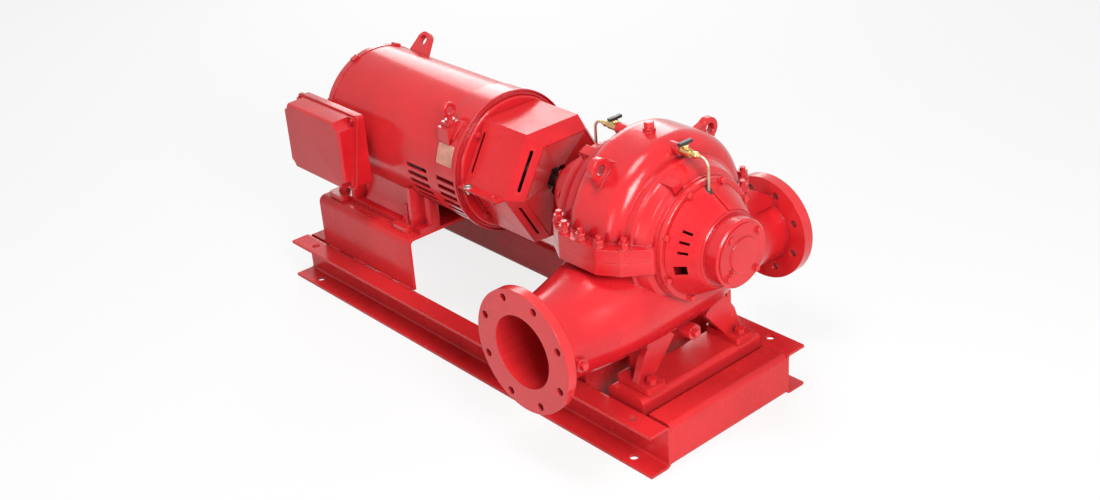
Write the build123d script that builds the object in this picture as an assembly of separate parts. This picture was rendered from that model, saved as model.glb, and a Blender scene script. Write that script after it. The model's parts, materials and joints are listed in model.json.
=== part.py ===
from build123d import *
import math
import os

# Electric fire pump set: a horizontal split-case pump and an open drip-proof
# motor, joined by a guarded coupling on a base of bent steel channel.
# Sizes are in millimetres. X runs along the shaft from motor to pump, -Y is
# the suction side, +Z is up. The origin is on the floor, mid base.

# Base
base_length = 1650
base_width = 604
base_depth = 130
base_wall = 9
base_bend = 16
side_flange = 73
end_flange = 77
anchor_spacing_x = base_length - 190
anchor_spacing_y = base_width - 62
anchor_hole = 25

# Shaft line and clearances
shaft_height = 548
pump_x = base_length / 2 - 270
shaft_radius = 24
run_clearance = 0.05
casing_clearance = 6
seat_gap = 0.3

# Pump pedestals and feet
pedestal_top = base_depth + 30
pedestal_width = 128
pedestal_leg = 140
pedestal_offset = 109
pedestal_wall = 10
foot_thickness = 20
foot_length = 122
foot_width = 66
foot_reach_y = 205
foot_bolt_x = 151
foot_bolt_y = 172
foot_hole = 20
foot_web = 22
foot_web_inset = 44

# Pump casing
volute_radius = 250
volute_offset = 16
volute_half = 90
volute_shoulder = 52
vent_boss = 8
gauge_boss = 16
drain_boss = 14
rib_radius = 204
rib_place = 116
chamber_radius = 190
casing_half = 175
belly_half_x = 166
belly_half_z = 150
belly_lift = 26
parting_thickness = 36
parting_margin = 38
parting_wide_x = 68
parting_knee = 124
parting_end_y = 176
parting_corner = 14
parting_bolt_inset = 18
stud_radius = 8
web_place = 12
web_thickness = 30
pad_turn = 24

# Nozzles
nozzle_height = 350
nozzle_reach = 475
suction_flange_radius = 171.5
suction_flange_thickness = 28.6
suction_bore = 101.6
suction_bore_length = 230
suction_pcd = 298.5
suction_hole = 22.2
suction_holes = 8
suction_wall = 20
discharge_flange_radius = 155
discharge_flange_thickness = 34
discharge_bore = 76.2
discharge_bore_length = 230
discharge_pcd = 241.3
discharge_hole = 22.2
discharge_holes = 8
discharge_wall = 17

# Bearing brackets, measured from the pump's middle
bracket_flange_radius = 165
bracket_flange_thickness = 16
bracket_root_radius = 148
bracket_neck_radius = 101
bracket_wall = 9
bracket_neck = 240
bearing_radius = 92
bearing_end = 282
bearing_land = 40
cover_radius = 84
cover_end = 295
guard_skin = 3
guard_lift = 0.4
gland_radius = 56
gland_length = 36
gland_plate_radius = 72
gland_plate = 12
gland_gap = 0.4

# Motor
motor_radius = 204
motor_wall = 8
motor_rear = -640
motor_front = -112
motor_rear_end = -695
motor_face = 0
core_rear = -500
core_front = -190
motor_shaft_radius = 36
skirt_step = 3
ring_start = -24
louvre_length = 96
louvre_width = 14
rear_louvres = -206
drive_louvres = -68
rear_slot_length = 58
rear_slot_width = 14
rear_slot_radius = 100
rear_slots = 10
rear_tabs = 8
louvre_angles = (2, 9.5, 17, 24.5, 32, 39.5)
eyebolt_x = -82
eyebolt_angle = 49
eyebolt_pad = 22
eyebolt_ring = 17
lug_x = -593
lug_angle = 38

# Motor riser and feet
riser_rear = -722
riser_front = -246
motor_drop = 247
riser_top = shaft_height - motor_drop
riser_half = 238
riser_wall = 10
riser_bend = 22
motor_foot_rear = -700
motor_foot_front = -226
motor_foot_outer = 216
motor_foot_inner = 120
motor_foot_thickness = 18
motor_foot_upright = 80
motor_upright_x = (-590, -286)
motor_bolt_x = (-660, -320)
motor_bolt_y = 176

# Conduit box
box_left = -712
box_right = -412
box_low = 440
box_high = 660
box_back = 228
box_lip = 16
box_front = 322
box_bevel = 58
box_recess = 16
box_screw_pocket = 15
box_wall = 4
box_neck_radius = 40

# Coupling guard
guard_taper = 178
guard_front = 226
guard_radius = 190
guard_mouth = 158
guard_sheet = 3
guard_slot_width = 9
guard_slot_length = 120
guard_tab = 26

# Coupling
hub_radius = 52
hub_bore_length = 50
coupling_gap = 8
motor_shaft_end = 74
sleeve_radius = 68

# Flush lines
thrust_extra = 30
valve_offset = 112
valve_height = shaft_height + 226
valve_body_radius = 11
tube_radius = 4
tube_run = 203
tube_bend = 24


def block(x0, x1, y0, y1, z0, z1):
    """Box between pairs of limits."""
    middle = Pos((x0 + x1) / 2, (y0 + y1) / 2, (z0 + z1) / 2)
    return middle * Box(abs(x1 - x0), abs(y1 - y0), abs(z1 - z0))


def rod_x(x0, x1, radius, y=0, z=shaft_height):
    """Cylinder along X."""
    return Pos((x0 + x1) / 2, y, z) * Rot(0, 90, 0) * Cylinder(radius, abs(x1 - x0))


def rod_y(y0, y1, radius, x, z):
    """Cylinder along Y."""
    return Pos(x, (y0 + y1) / 2, z) * Rot(90, 0, 0) * Cylinder(radius, abs(y1 - y0))


def rod_z(z0, z1, radius, x, y):
    """Cylinder along Z."""
    return Pos(x, y, (z0 + z1) / 2) * Cylinder(radius, abs(z1 - z0))


def turned(points, offset_y=0):
    """Solid of revolution about the shaft line from (x, radius) points."""
    outline = Polyline(*[(x, 0, r) for x, r in points], close=True)
    solid = revolve(make_face(outline), Axis.X)
    return Pos(0, offset_y, shaft_height) * solid


def pump_turned(points, side, offset_y=0):
    """Turned solid with x counted from the pump's middle, towards side."""
    return turned([(pump_x + side * x, r) for x, r in points], offset_y)


def below_shaft():
    """Space under the parting plane, around the pump."""
    half = 2 * casing_half
    return block(pump_x - half, pump_x + half, -nozzle_reach, nozzle_reach, 0, shaft_height)


def bent_section(depth, flange, wall, bend):
    """Channel section: back on the local Y axis, flanges towards +X."""
    outer = Rectangle(flange, depth, align=(Align.MIN, Align.MIN))
    inner = Pos(wall, wall) * Rectangle(flange, depth - 2 * wall, align=(Align.MIN, Align.MIN))
    section = outer - inner
    section = fillet(section.vertices().group_by(Axis.X)[0], bend)
    inside = section.vertices().filter_by_position(Axis.X, wall - 0.01, wall + 0.01)
    inside = inside.filter_by_position(Axis.Y, wall - 0.01, depth - wall + 0.01)
    return fillet(inside, bend - wall)


def base_side(side):
    """Side channel with its flanges outward; side is -1 near, 1 far."""
    back = side * (base_width / 2 - side_flange)
    plane = Plane(origin=(side * -base_length / 2, back, 0), x_dir=(0, side, 0), z_dir=(side, 0, 0))
    bar = extrude(plane * bent_section(base_depth, side_flange, base_wall, base_bend), base_length)
    for x in (-anchor_spacing_x / 2, anchor_spacing_x / 2):
        bar -= rod_z(-1, base_depth + 1, anchor_hole / 2, x, side * anchor_spacing_y / 2)
    return bar


def base_end(side):
    """End channel between the side webs, back outward; side is 1 at the pump."""
    half = base_width / 2 - side_flange
    plane = Plane(origin=(side * base_length / 2, -side * half, 0), x_dir=(-side, 0, 0), z_dir=(0, side, 0))
    return extrude(plane * bent_section(base_depth, end_flange, base_wall, base_bend), 2 * half)


def pump_pedestal(side):
    """Inverted channel with closed ends that crosses the base under a pair of pump feet."""
    half = base_width / 2 - side_flange
    start = pump_x + side * pedestal_offset - pedestal_width / 2
    plane = Plane(origin=(start, half, pedestal_top), x_dir=(0, 0, -1), z_dir=(0, -1, 0))
    bar = extrude(plane * bent_section(pedestal_width, pedestal_leg, pedestal_wall, base_bend), 2 * half)
    x0 = start + pedestal_wall / 2
    x1 = x0 + pedestal_width - pedestal_wall
    for end in (-1, 1):
        y = end * (half - pedestal_wall)
        bar += block(x0, x1, y, end * half, base_wall + 20, pedestal_top - pedestal_wall / 2)
    for y in (-foot_bolt_y, foot_bolt_y):
        x = pump_x + side * foot_bolt_x
        bar -= rod_z(pedestal_top - 2 * pedestal_wall, pedestal_top + 1, foot_hole / 2, x, y)
    return bar


def motor_riser():
    """Inverted channel along the base that lifts the motor to the shaft line."""
    plane = Plane(origin=(riser_rear, -riser_half, riser_top), x_dir=(0, 0, -1), z_dir=(1, 0, 0))
    leg = riser_top - base_depth
    section = bent_section(2 * riser_half, leg, riser_wall, riser_bend)
    bar = extrude(plane * section, riser_front - riser_rear)
    for x in motor_bolt_x:
        for y in (-motor_bolt_y, motor_bolt_y):
            bar -= rod_z(riser_top - 2 * riser_wall, riser_top + 1, foot_hole / 2, x, y)
    return bar


def louvres(x, radius):
    """Cutter for one group of louvres low on both sides of the motor."""
    slot = extrude(Plane.XZ * SlotOverall(louvre_length, louvre_width), amount=motor_wall * 2, both=True)
    cutter = []
    for angle in louvre_angles:
        for turn in (angle, 180 - angle):
            cutter.append(Pos(0, 0, shaft_height) * Rot(turn, 0, 0) * Pos(x, -radius, 0) * slot)
    return cutter


def motor_shell():
    """Rolled motor frame with louvres low on both sides."""
    shell = rod_x(motor_rear, motor_front, motor_radius)
    shell -= rod_x(motor_rear - 1, motor_front + 1, motor_radius - motor_wall)
    return shell - louvres(rear_louvres, motor_radius)


def stator_core():
    """Laminated core inside the motor frame, seen through the louvres."""
    radius = motor_radius - motor_wall
    return rod_x(core_rear, core_front, radius) - rod_x(core_rear - 1, core_front + 1, radius * 0.55)


def motor_bell_drive():
    """Drive end bracket: louvred skirt, stepped rings, eyebolt pad and bearing bore."""
    inner = motor_radius - motor_wall - seat_gap
    skirt = motor_radius + skirt_step
    points = [
        (motor_front - 14, inner - 10),
        (motor_front - 14, inner),
        (motor_front, inner),
        (motor_front, skirt - 3),
        (motor_front + 3, skirt),
        (ring_start, skirt),
        (ring_start + 3, skirt + 5),
        (ring_start + 10, skirt + 5),
        (ring_start + 12, skirt),
        (ring_start + 18, skirt),
        (ring_start + 20, skirt + 3),
        (motor_face - 12, skirt + 1),
        (motor_face - 10, skirt - 8),
        (motor_face - 2, skirt - 12),
        (motor_face, skirt - 16),
        (motor_face, motor_radius - 42),
        (motor_face - 10, motor_radius - 50),
        (motor_face - 10, 96),
        (motor_face, 88),
        (motor_face, motor_shaft_radius + run_clearance),
        (motor_face - 88, motor_shaft_radius + run_clearance),
        (motor_face - 88, 80),
        (motor_face - 24, 100),
        (motor_face - 22, skirt - 24),
        (ring_start, inner - 10),
    ]
    bell = turned(points)
    turn = Pos(0, 0, shaft_height) * Rot(eyebolt_angle, 0, 0)
    pad = turn * block(eyebolt_x - 28, eyebolt_x + 34, -30, 30, skirt - 6, skirt + 6)
    bell += pad & rod_x(motor_front, motor_face, skirt + 3)
    return bell - louvres(drive_louvres, skirt)


def eyebolt_place():
    """Height and sideways place of the eyebolt's foot on the bell."""
    radius = motor_radius + skirt_step
    angle = math.radians(eyebolt_angle)
    return -radius * math.sin(angle), shaft_height + radius * math.cos(angle)


def motor_bell_rear():
    """Rear end bracket with its stepped rim, air openings and bearing boss."""
    inner = motor_radius - motor_wall - seat_gap
    points = [
        (motor_rear + 14, inner - 10),
        (motor_rear + 14, inner),
        (motor_rear, inner),
        (motor_rear, motor_radius + 2),
        (motor_rear - 22, motor_radius + 2),
        (motor_rear - 34, motor_radius - 6),
        (motor_rear - 48, motor_radius - 26),
        (motor_rear_end, motor_radius - 52),
        (motor_rear_end, 0),
        (motor_rear_end + 12, 0),
        (motor_rear_end + 12, motor_radius - 56),
        (motor_rear - 2, inner - 10),
    ]
    bell = turned(points)
    slot = extrude(Plane.YZ * SlotOverall(rear_slot_length, rear_slot_width), amount=20, both=True)
    slot = Pos(motor_rear_end, 0, rear_slot_radius) * Rot(90, 0, 0) * slot
    for i in range(rear_slots):
        bell -= Pos(0, 0, shaft_height) * Rot(360 / rear_slots * i, 0, 0) * slot
    tab = block(motor_rear - 18, motor_rear, -12, 12, motor_radius - 4, motor_radius + 8)
    for i in range(rear_tabs):
        bell += Pos(0, 0, shaft_height) * Rot(360 / rear_tabs * (i + 0.5), 0, 0) * tab
    return bell


def motor_foot(side):
    """Cast foot rail along one side, with toes round its bolts and curved uprights."""
    inner = side * motor_foot_inner
    outer = side * motor_foot_outer
    top = riser_top + motor_foot_thickness
    foot = block(motor_foot_rear + 20, motor_foot_front - 20, inner, outer - side * 26, riser_top, top)
    for x in motor_bolt_x:
        toe = block(x - 36, x + 36, inner, outer, riser_top, top)
        foot += fillet(toe.edges().filter_by(Axis.Z), 12)
    half = motor_foot_upright / 2
    for x in motor_upright_x:
        wall = block(x - half, x + half, side * 104, side * 152, riser_top, shaft_height - 96)
        foot += fillet(wall.edges().filter_by(Axis.Z), 16)
        foot += block(x - 8, x + 8, side * 140, side * 190, riser_top, shaft_height - 104)
    foot -= rod_x(motor_foot_rear - 1, motor_foot_front + 61, motor_radius + seat_gap)
    foot = max(foot.solids(), key=lambda s: s.volume)
    for x in motor_bolt_x:
        foot -= rod_z(riser_top - 1, top + 1, foot_hole / 2, x, side * motor_bolt_y)
    return foot


def box_rim(y0, y1):
    """Thin rim a little larger than the terminal box."""
    rim = block(box_left - 5, box_right + 5, y0, y1, box_low - 5, box_high + 5)
    return fillet(rim.edges().filter_by(Axis.Y), 12)


def conduit_box():
    """Open terminal box on the motor's side, with its lip and its neck."""
    z_middle = (box_low + box_high) / 2
    x_middle = (box_left + box_right) / 2
    front = -box_back - box_lip
    box = block(box_left, box_right, front, -box_back, box_low, box_high)
    box = fillet(box.edges().filter_by(Axis.Y), 9) + box_rim(front, front + 5)
    x0 = box_left + 2 * box_wall
    x1 = box_right - 2 * box_wall
    z0 = box_low + 2 * box_wall
    z1 = box_high - 2 * box_wall
    box -= block(x0, x1, front - 1, -box_back - box_wall, z0, z1)
    neck = rod_y(-box_back, -motor_radius + 30, box_neck_radius, x_middle, z_middle)
    return box + (neck - rod_x(motor_rear - 80, motor_front, motor_radius + seat_gap))


def conduit_cover():
    """Deep cover with one long bevelled side, rounded edges and corner recesses."""
    back = -box_back - box_lip - seat_gap
    outline = [
        (box_left, back),
        (box_right, back),
        (box_right, back - 8),
        (box_right - box_bevel, -box_front),
        (box_left + 6, -box_front),
        (box_left, -box_front + 12),
    ]
    face = make_face(Polyline(*[(x, y, box_low) for x, y in outline], close=True))
    cover = extrude(face, amount=box_high - box_low, dir=(0, 0, 1))
    front = cover.edges().filter_by(Axis.Z).sort_by(Axis.Y)[:3]
    cover = fillet(front, 12)
    rim = [e for e in cover.edges() if e.bounding_box().max.Y < back - 1 and e.bounding_box().size.Z < 1]
    cover = fillet(rim, 9)
    for x in (box_left, box_right):
        for z in (box_low, box_high):
            cover -= rod_y(-box_front - 1, back - box_recess, box_screw_pocket, x, z)
    return cover + box_rim(back - 4, back)


def motor_eyebolt():
    """Upright eyebolt in a cast pad with a level top, near the drive end."""
    y, z = eyebolt_place()
    top = z + eyebolt_pad
    pad = block(-24, 24, -30, 26, z - 60, top - 14) + block(-19, 19, -20, 20, top - 14, top)
    pad = Pos(eyebolt_x, y, 0) * pad
    ring_z = top + 16 + eyebolt_ring
    eye = rod_z(top, top + 6, 15, eyebolt_x, y) + rod_z(top, ring_z - eyebolt_ring, 8, eyebolt_x, y)
    eye += Pos(eyebolt_x, y, ring_z) * Rot(0, 90, -25) * Torus(eyebolt_ring, 6)
    inside = rod_x(eyebolt_x - 90, motor_face + 20, motor_radius + skirt_step + 3 + seat_gap)
    return max((pad + eye - inside).solids(), key=lambda s: s.volume)


def motor_lifting_lug():
    """Cast lifting lug at the rear on the far side."""
    crown = motor_radius + 42
    body = Pos(0, 0, crown) * Rot(90, 0, 0) * Cylinder(29, 20)
    root = [(-44, motor_radius - 12), (44, motor_radius - 12), (27, crown + 10), (-27, crown + 10)]
    body += extrude(Plane.XZ * make_face(Polyline(*root, close=True)), amount=10, both=True)
    body -= Pos(0, 0, crown) * Rot(90, 0, 0) * Cylinder(17, 30)
    placed = Pos(lug_x, 0, shaft_height) * Rot(-lug_angle, 0, 0) * body
    return placed - rod_x(lug_x - 80, lug_x + 80, motor_radius + seat_gap)


def guard_hexagon(x, radius):
    """Hexagon about the shaft line at x, flat on top."""
    angles = [math.radians(60 * i) for i in range(6)]
    corners = [(x, radius * math.cos(a), shaft_height + radius * math.sin(a)) for a in angles]
    return make_face(Polyline(*corners, close=True))


def hexagon_ring(x0, x1, outer0, outer1):
    """Sheet hexagon between two places, straight or tapered."""
    sheet = guard_sheet * 1.155
    body = loft([guard_hexagon(x0, outer0), guard_hexagon(x1, outer1)])
    hollow = loft([guard_hexagon(x0, outer0 - sheet), guard_hexagon(x1, outer1 - sheet)])
    return body - hollow


def guard_slots():
    """Cutters for the long slots in the guard's upper side faces."""
    outline = Rot(0, 0, 90) * SlotOverall(guard_slot_length, guard_slot_width)
    slot = extrude(Plane.XZ * outline, amount=24, both=True)
    places = [(motor_face + 16, guard_radius), ((guard_taper + guard_front) / 2, guard_mouth + 16)]
    cutters = []
    for x, radius in places:
        for turn in (30, 150):
            place = Pos(0, 0, shaft_height) * Rot(-turn, 0, 0) * Pos(x, -radius * 0.866, 0)
            cutters.append(place * slot)
    return cutters


def guard_shell():
    """Whole folded sheet guard: straight part, tapered end and collar at the motor."""
    start = motor_face + seat_gap
    shell = hexagon_ring(start, guard_taper, guard_radius, guard_radius)
    shell += hexagon_ring(guard_taper, guard_front, guard_radius, guard_mouth)
    wall = extrude(guard_hexagon(start, guard_radius - 1), amount=guard_sheet, dir=(1, 0, 0))
    return shell + (wall - rod_x(motor_face - 1, motor_face + 20, 92))


def coupling_guard(upper):
    """Upper or lower half of the guard, with its bolted edges."""
    sign = 1 if upper else -1
    reach = guard_radius + guard_tab
    kept = block(motor_face - 1, guard_front + 1, -reach, reach, shaft_height, shaft_height + sign * reach)
    shell = guard_shell() & kept
    z0, z1 = sorted((shaft_height, shaft_height + sign * guard_sheet))
    for side in (-1, 1):
        inner = side * (guard_radius - 8)
        outer = side * reach
        tab = block(motor_face + 6, guard_taper - 4, inner, outer, z0, z1)
        for x in (motor_face + 34, guard_taper - 34):
            tab -= rod_z(z0 - 1, z1 + 1, 5.5, x, side * (guard_radius + guard_tab / 2))
        shell += tab
    if upper:
        shell -= guard_slots()
    return shell


def motor_shaft():
    """Motor shaft from the bearing to its end at the coupling."""
    return rod_x(motor_front - 60, motor_shaft_end, motor_shaft_radius)


def coupling_hub(x0, x1, bore):
    """Flanged coupling hub."""
    toward = 1 if x1 > x0 else -1
    body = rod_x(x0, x1, hub_radius) + rod_x(x0, x0 + toward * 16, sleeve_radius)
    return body - rod_x(x0 - toward, x1 + toward, bore)


def coupling_element():
    """Flexible disc between the hubs."""
    x0 = coupling_middle() - coupling_gap / 2
    disc = rod_x(x0, x0 + coupling_gap, sleeve_radius)
    return disc - rod_x(x0 - 1, x0 + coupling_gap + 1, motor_shaft_radius + 6)


def coupling_middle():
    """Plane between the two shaft ends."""
    return motor_shaft_end + coupling_gap / 2


def pump_shaft():
    """Pump shaft from the coupling to the outboard bearing."""
    start = coupling_middle() + coupling_gap / 2
    return rod_x(start, pump_x + cover_end + thrust_extra - 8, shaft_radius)


def volute_body():
    """Volute band with round shoulders, grown towards the discharge side."""
    half = volute_half
    face = make_face(Polyline(
        (-half - 14, 0),
        (-half - 14, rib_radius - 20),
        (-half, volute_radius),
        (half, volute_radius),
        (half + 14, rib_radius - 20),
        (half + 14, 0),
        close=True,
    ))
    shoulders = face.vertices().group_by(Axis.Y)[-1]
    face = fillet(shoulders, volute_shoulder)
    ring = revolve(Plane.XY * face, axis=Axis.X)
    return Pos(pump_x, volute_offset, shaft_height) * ring


def chamber_body():
    """Suction chambers each side of the volute, out to the bracket seats."""
    body = None
    for side in (-1, 1):
        points = [
            (0, 0),
            (0, rib_radius - 3),
            (rib_place - 3, rib_radius),
            (rib_place + 4, rib_radius),
            (rib_place + 9, rib_radius - 8),
            (rib_place + 14, chamber_radius + 4),
            (casing_half - 22, chamber_radius - 8),
            (casing_half - 14, bracket_flange_radius + 3),
            (casing_half, bracket_flange_radius + 3),
            (casing_half, 0),
        ]
        half = pump_turned(points, side)
        body = half if body is None else body + half
    return body


def parting_reach(side):
    """How far the parting flange reaches past the volute and the chambers."""
    return volute_radius + side * volute_offset + parting_margin, rib_radius + parting_margin - 4


def parting_outline():
    """Plan of the parting flange: straight past the volute, then in towards both ends."""
    points = []
    for side in (-1, 1):
        wide, middle = parting_reach(side)
        half = [(casing_half, parting_end_y), (parting_knee, middle), (parting_wide_x, wide)]
        row = [(x, side * y) for x, y in half]
        row += [(-x, side * y) for x, y in reversed(half)]
        points += row if side < 0 else row[::-1]
    return [(pump_x + x, y) for x, y in points]


def parting_flange(z0, z1):
    """Flange plate between two heights."""
    face = make_face(Polyline(*[(x, y, z0) for x, y in parting_outline()], close=True))
    plate = extrude(face, amount=z1 - z0, dir=(0, 0, 1))
    return fillet(plate.edges().filter_by(Axis.Z), parting_corner)


def parting_bolts():
    """Places of the parting flange bolts."""
    places = []
    for side in (-1, 1):
        wide, middle = parting_reach(side)
        row = [(0, wide), (parting_wide_x - 4, wide - 2), (parting_knee - 4, middle)]
        for x, y in row:
            for end in (-1, 1) if x else (1,):
                places.append((pump_x + end * x, side * (y - parting_bolt_inset)))
    return places


def casing_bores():
    """Shaft way through both casing halves."""
    return rod_x(pump_x - casing_half - 1, pump_x + casing_half + 1, shaft_radius + casing_clearance)


def nozzle_body(side, radius, thickness, flange_radius, swell):
    """Nozzle that swells from its round flange; swell lists (y share, half x, half z, z)."""
    reach = nozzle_reach - thickness
    sections = []
    for share, half_x, half_z, z in [(1, radius, radius, 0)] + swell:
        place = nozzle_height + z
        plane = Plane(origin=(pump_x, side * reach * share, place), x_dir=(1, 0, 0), z_dir=(0, side, 0))
        sections.append(plane * Ellipse(half_x, half_z))
    body = loft(sections)
    return body + rod_y(side * reach, side * nozzle_reach, flange_radius, pump_x, nozzle_height)


def suction_body():
    """Suction nozzle and the broad belly it feeds under the shaft."""
    radius = suction_bore + suction_wall
    swell = [
        (0.82, radius * 1.01, radius * 1.01, 0),
        (0.56, belly_half_x * 0.90, belly_half_z * 0.92, belly_lift * 0.45),
        (0.28, belly_half_x, belly_half_z, belly_lift),
        (-0.12, belly_half_x, belly_half_z * 0.97, belly_lift * 1.1),
        (-0.42, belly_half_x * 0.93, belly_half_z * 0.72, belly_lift * 1.8),
    ]
    return nozzle_body(-1, radius, suction_flange_thickness, suction_flange_radius, swell)


def discharge_body():
    """Discharge nozzle with the web that ties its flange to the parting flange."""
    radius = discharge_bore + discharge_wall
    swell = [
        (0.80, radius * 1.02, radius * 1.02, 0),
        (0.45, radius * 1.12, radius * 1.25, 22),
        (0.12, radius * 1.15, radius * 1.35, 40),
    ]
    body = nozzle_body(1, radius, discharge_flange_thickness, discharge_flange_radius, swell)
    face = nozzle_reach - discharge_flange_thickness + 4
    top = shaft_height - 2
    low = nozzle_height + 0.9 * radius
    outline = [(180, low), (180, top), (parting_reach(1)[0] - 6, top), (face, low + 22), (face, low)]
    web = make_face(Polyline(*[(pump_x + web_place, y, z) for y, z in outline], close=True))
    return body + extrude(web, amount=web_thickness, dir=(1, 0, 0))


def below_parting():
    """Room under the parting plane, wide enough for both nozzles."""
    far = 2 * nozzle_reach
    return block(pump_x - far, pump_x + far, -far, far, 0, shaft_height)


def nozzle_cut(side, bore, bore_length):
    """Round bore from the flange face, closing deep inside."""
    end = nozzle_reach - bore_length
    cut = rod_y(side * end, side * (nozzle_reach + 1), bore, pump_x, nozzle_height)
    return cut + Pos(pump_x, side * end, nozzle_height) * Sphere(bore)


def flange_holes(side, pcd, hole, count, thickness):
    """Bolt holes of a nozzle flange, astride its centre lines."""
    cutter = None
    for i in range(count):
        angle = math.radians(360 / count * (i + 0.5))
        x = pump_x + pcd / 2 * math.cos(angle)
        z = nozzle_height + pcd / 2 * math.sin(angle)
        rod = rod_y(side * (nozzle_reach - thickness - 3), side * (nozzle_reach + 1), hole / 2, x, z)
        cutter = rod if cutter is None else cutter + rod
    return cutter


def casing_foot(side):
    """A pair of feet: bolted pads with ribs up to the belly."""
    outer_x = pump_x + side * (pedestal_offset + pedestal_width / 2)
    inner_x = outer_x - side * foot_length
    rib_x = outer_x - side * foot_web_inset
    top = pedestal_top + foot_thickness
    foot = None
    for end in (-1, 1):
        outer_y = end * foot_reach_y
        inner_y = outer_y - end * foot_width
        pad = block(inner_x, outer_x, outer_y, inner_y, pedestal_top, top)
        pad = fillet(pad.edges().filter_by(Axis.Z), 10)
        outline = [
            (rib_x, outer_y - end * 4, top),
            (rib_x, outer_y - end * 30, top + 70),
            (rib_x, end * 120, top + 150),
            (rib_x, end * 60, top + 90),
            (rib_x, inner_y, top),
        ]
        rib = extrude(make_face(Polyline(*outline, close=True)), amount=foot_web, dir=(-side, 0, 0))
        bar = block(inner_x + side * 8, rib_x, outer_y - end * 44, outer_y - end * 60, top - 1, top + 130)
        piece = pad + rib + bar
        foot = piece if foot is None else foot + piece
    return foot


def lower_casing():
    """Lower casing half with both nozzles, the parting flange and the feet."""
    body = (volute_body() + chamber_body()) & below_shaft()
    body += parting_flange(shaft_height - parting_thickness, shaft_height)
    body += suction_body() & below_parting()
    body += discharge_body() & below_parting()
    x, y, z = gauge_place()
    body += rod_x(x - 14, x + gauge_boss, 19, y, z)
    x, y, z = drain_place()
    body += rod_x(x - 40, x, 22, y, z)
    for side in (-1, 1):
        body += casing_foot(side)
    body -= nozzle_cut(-1, suction_bore, suction_bore_length)
    body -= nozzle_cut(1, discharge_bore, discharge_bore_length)
    body -= flange_holes(-1, suction_pcd, suction_hole, suction_holes, suction_flange_thickness)
    body -= flange_holes(1, discharge_pcd, discharge_hole, discharge_holes, discharge_flange_thickness)
    body -= casing_bores()
    for side_x in (-1, 1):
        for side_y in (-1, 1):
            x = pump_x + side_x * foot_bolt_x
            y = side_y * foot_bolt_y
            body -= rod_z(pedestal_top - 1, pedestal_top + foot_thickness + 1, foot_hole / 2, x, y)
    return body


def casing_crown():
    """Height of the vent boss on top of the casing."""
    return shaft_height + volute_radius + vent_boss


def lifting_lug(turn):
    """Cast lug with its eye, on the crown of the casing; turn leans it to one side."""
    shape = [(-46, -44), (46, -44), (24, 10), (-24, 10)]
    lug = extrude(Plane.YZ * make_face(Polyline(*shape, close=True)), amount=12, both=True)
    lug += Rot(0, 90, 0) * Cylinder(31, 24)
    lug -= Rot(0, 90, 0) * Cylinder(14, 40)
    lug = fillet(lug.edges().filter_by(GeomType.CIRCLE), 4)
    place = Pos(pump_x - 8, volute_offset, shaft_height)
    return place * Rot(turn, 0, 0) * Pos(0, 0, volute_radius + 26) * lug


def upper_casing():
    """Upper casing half: volute band, chambers, parting flange and lugs."""
    body = (volute_body() + chamber_body()) - below_shaft()
    body += parting_flange(shaft_height, shaft_height + parting_thickness)
    body += lifting_lug(44)
    body += lifting_lug(-49)
    body += rod_z(shaft_height, casing_crown(), 17, pump_x, 0)
    for side in (-1, 1):
        x = pump_x + side * valve_offset
        body += rod_x(x, x - side * 60, 16, 0, valve_height)
        pad_x = pump_x + side * (casing_half - 30)
        pad = block(-24, 24, -15, 15, chamber_radius - 20, chamber_radius + 6)
        body += Pos(pad_x, 0, shaft_height) * Rot(pad_turn, 0, 0) * pad
    return body - casing_bores()


def parting_nuts():
    """Washers and nuts on studs along the parting flange."""
    top = shaft_height + parting_thickness
    nuts = []
    for x, y in parting_bolts():
        nut = Pos(x, y, top + 3 + 8) * extrude(RegularPolygon(15, 6), amount=8, both=True)
        nuts.append(rod_z(top, top + 3, 17, x, y) + nut + rod_z(top, top + 30, stud_radius, x, y))
    return nuts


def outboard_extra(side):
    """Extra length of the outboard bracket, which holds the thrust bearing."""
    return thrust_extra if side > 0 else 0


def bracket(side):
    """Bearing bracket with its open sides and bearing housing."""
    flange = casing_half + bracket_flange_thickness
    wall = bracket_wall
    extra = outboard_extra(side)
    neck = bracket_neck + extra
    end = bearing_end + extra
    points = [
        (casing_half, bracket_flange_radius),
        (flange - 2, bracket_flange_radius),
        (flange, bracket_flange_radius - 2),
        (flange, bracket_root_radius),
        (neck - 3, bracket_neck_radius),
        (neck, bracket_neck_radius - 3),
        (neck, bearing_radius),
        (end - 4, bearing_radius),
        (end, bearing_radius - 4),
        (end, shaft_radius + run_clearance),
        (end - bearing_land, shaft_radius + run_clearance),
        (end - bearing_land, 60),
        (neck, bracket_neck_radius - wall - 8),
        (flange, bracket_root_radius - wall),
        (casing_half, bracket_root_radius - wall),
    ]
    body = pump_turned(points, side)
    x0 = pump_x + side * (flange + 10)
    x1 = pump_x + side * (neck - 10)
    for side_y in (-1, 1):
        body -= block(x0, x1, side_y * 70, side_y * 200, shaft_height - 78, shaft_height + 78)
    return body - tube_way(side)


def tube_way(side):
    """Hole in bracket and guards where the flush tube goes in."""
    return rod_z(shaft_height + 80, shaft_height + 170, tube_radius + 5, pump_x + side * tube_run, 0)


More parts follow.
